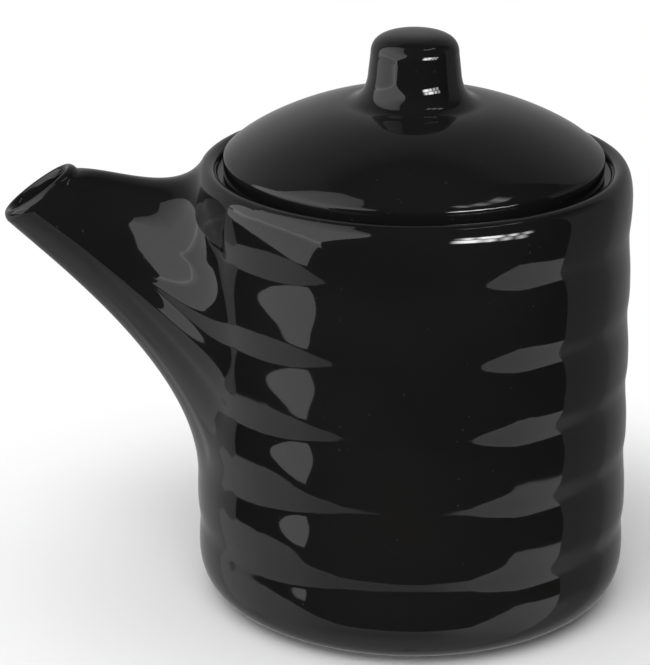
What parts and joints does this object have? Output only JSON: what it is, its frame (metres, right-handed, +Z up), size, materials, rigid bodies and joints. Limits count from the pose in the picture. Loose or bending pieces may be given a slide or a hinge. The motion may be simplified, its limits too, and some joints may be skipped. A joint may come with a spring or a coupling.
{
  "type": "soy sauce pot",
  "caption": "Small lidded pot for pouring sauce: straight ringed body, beak spout grown out of the shoulder, loose domed lid with a turned knob, glossy black glaze.",
  "frame": {"origin": "centre of the bottom face of the bounding box, on the table plane", "axes": "+Z up along the pot's axis, -X the way the spout points, the pot's axis stands at X = 14.35 mm"},
  "size_m": [0.095, 0.0664, 0.0894],
  "materials": {
    "black_glaze": "glossy glaze, bare on the foot ring"
  },
  "bodies": {
    "pot": {"pot_body": "black_glaze"},
    "lid": {"lid": "black_glaze"}
  },
  "joints": [
    {"name": "lid_lift", "type": "slide", "parent": "pot", "child": "lid", "axis": [0, 0, 1], "range_m": [0, 0.08]}
  ]
}
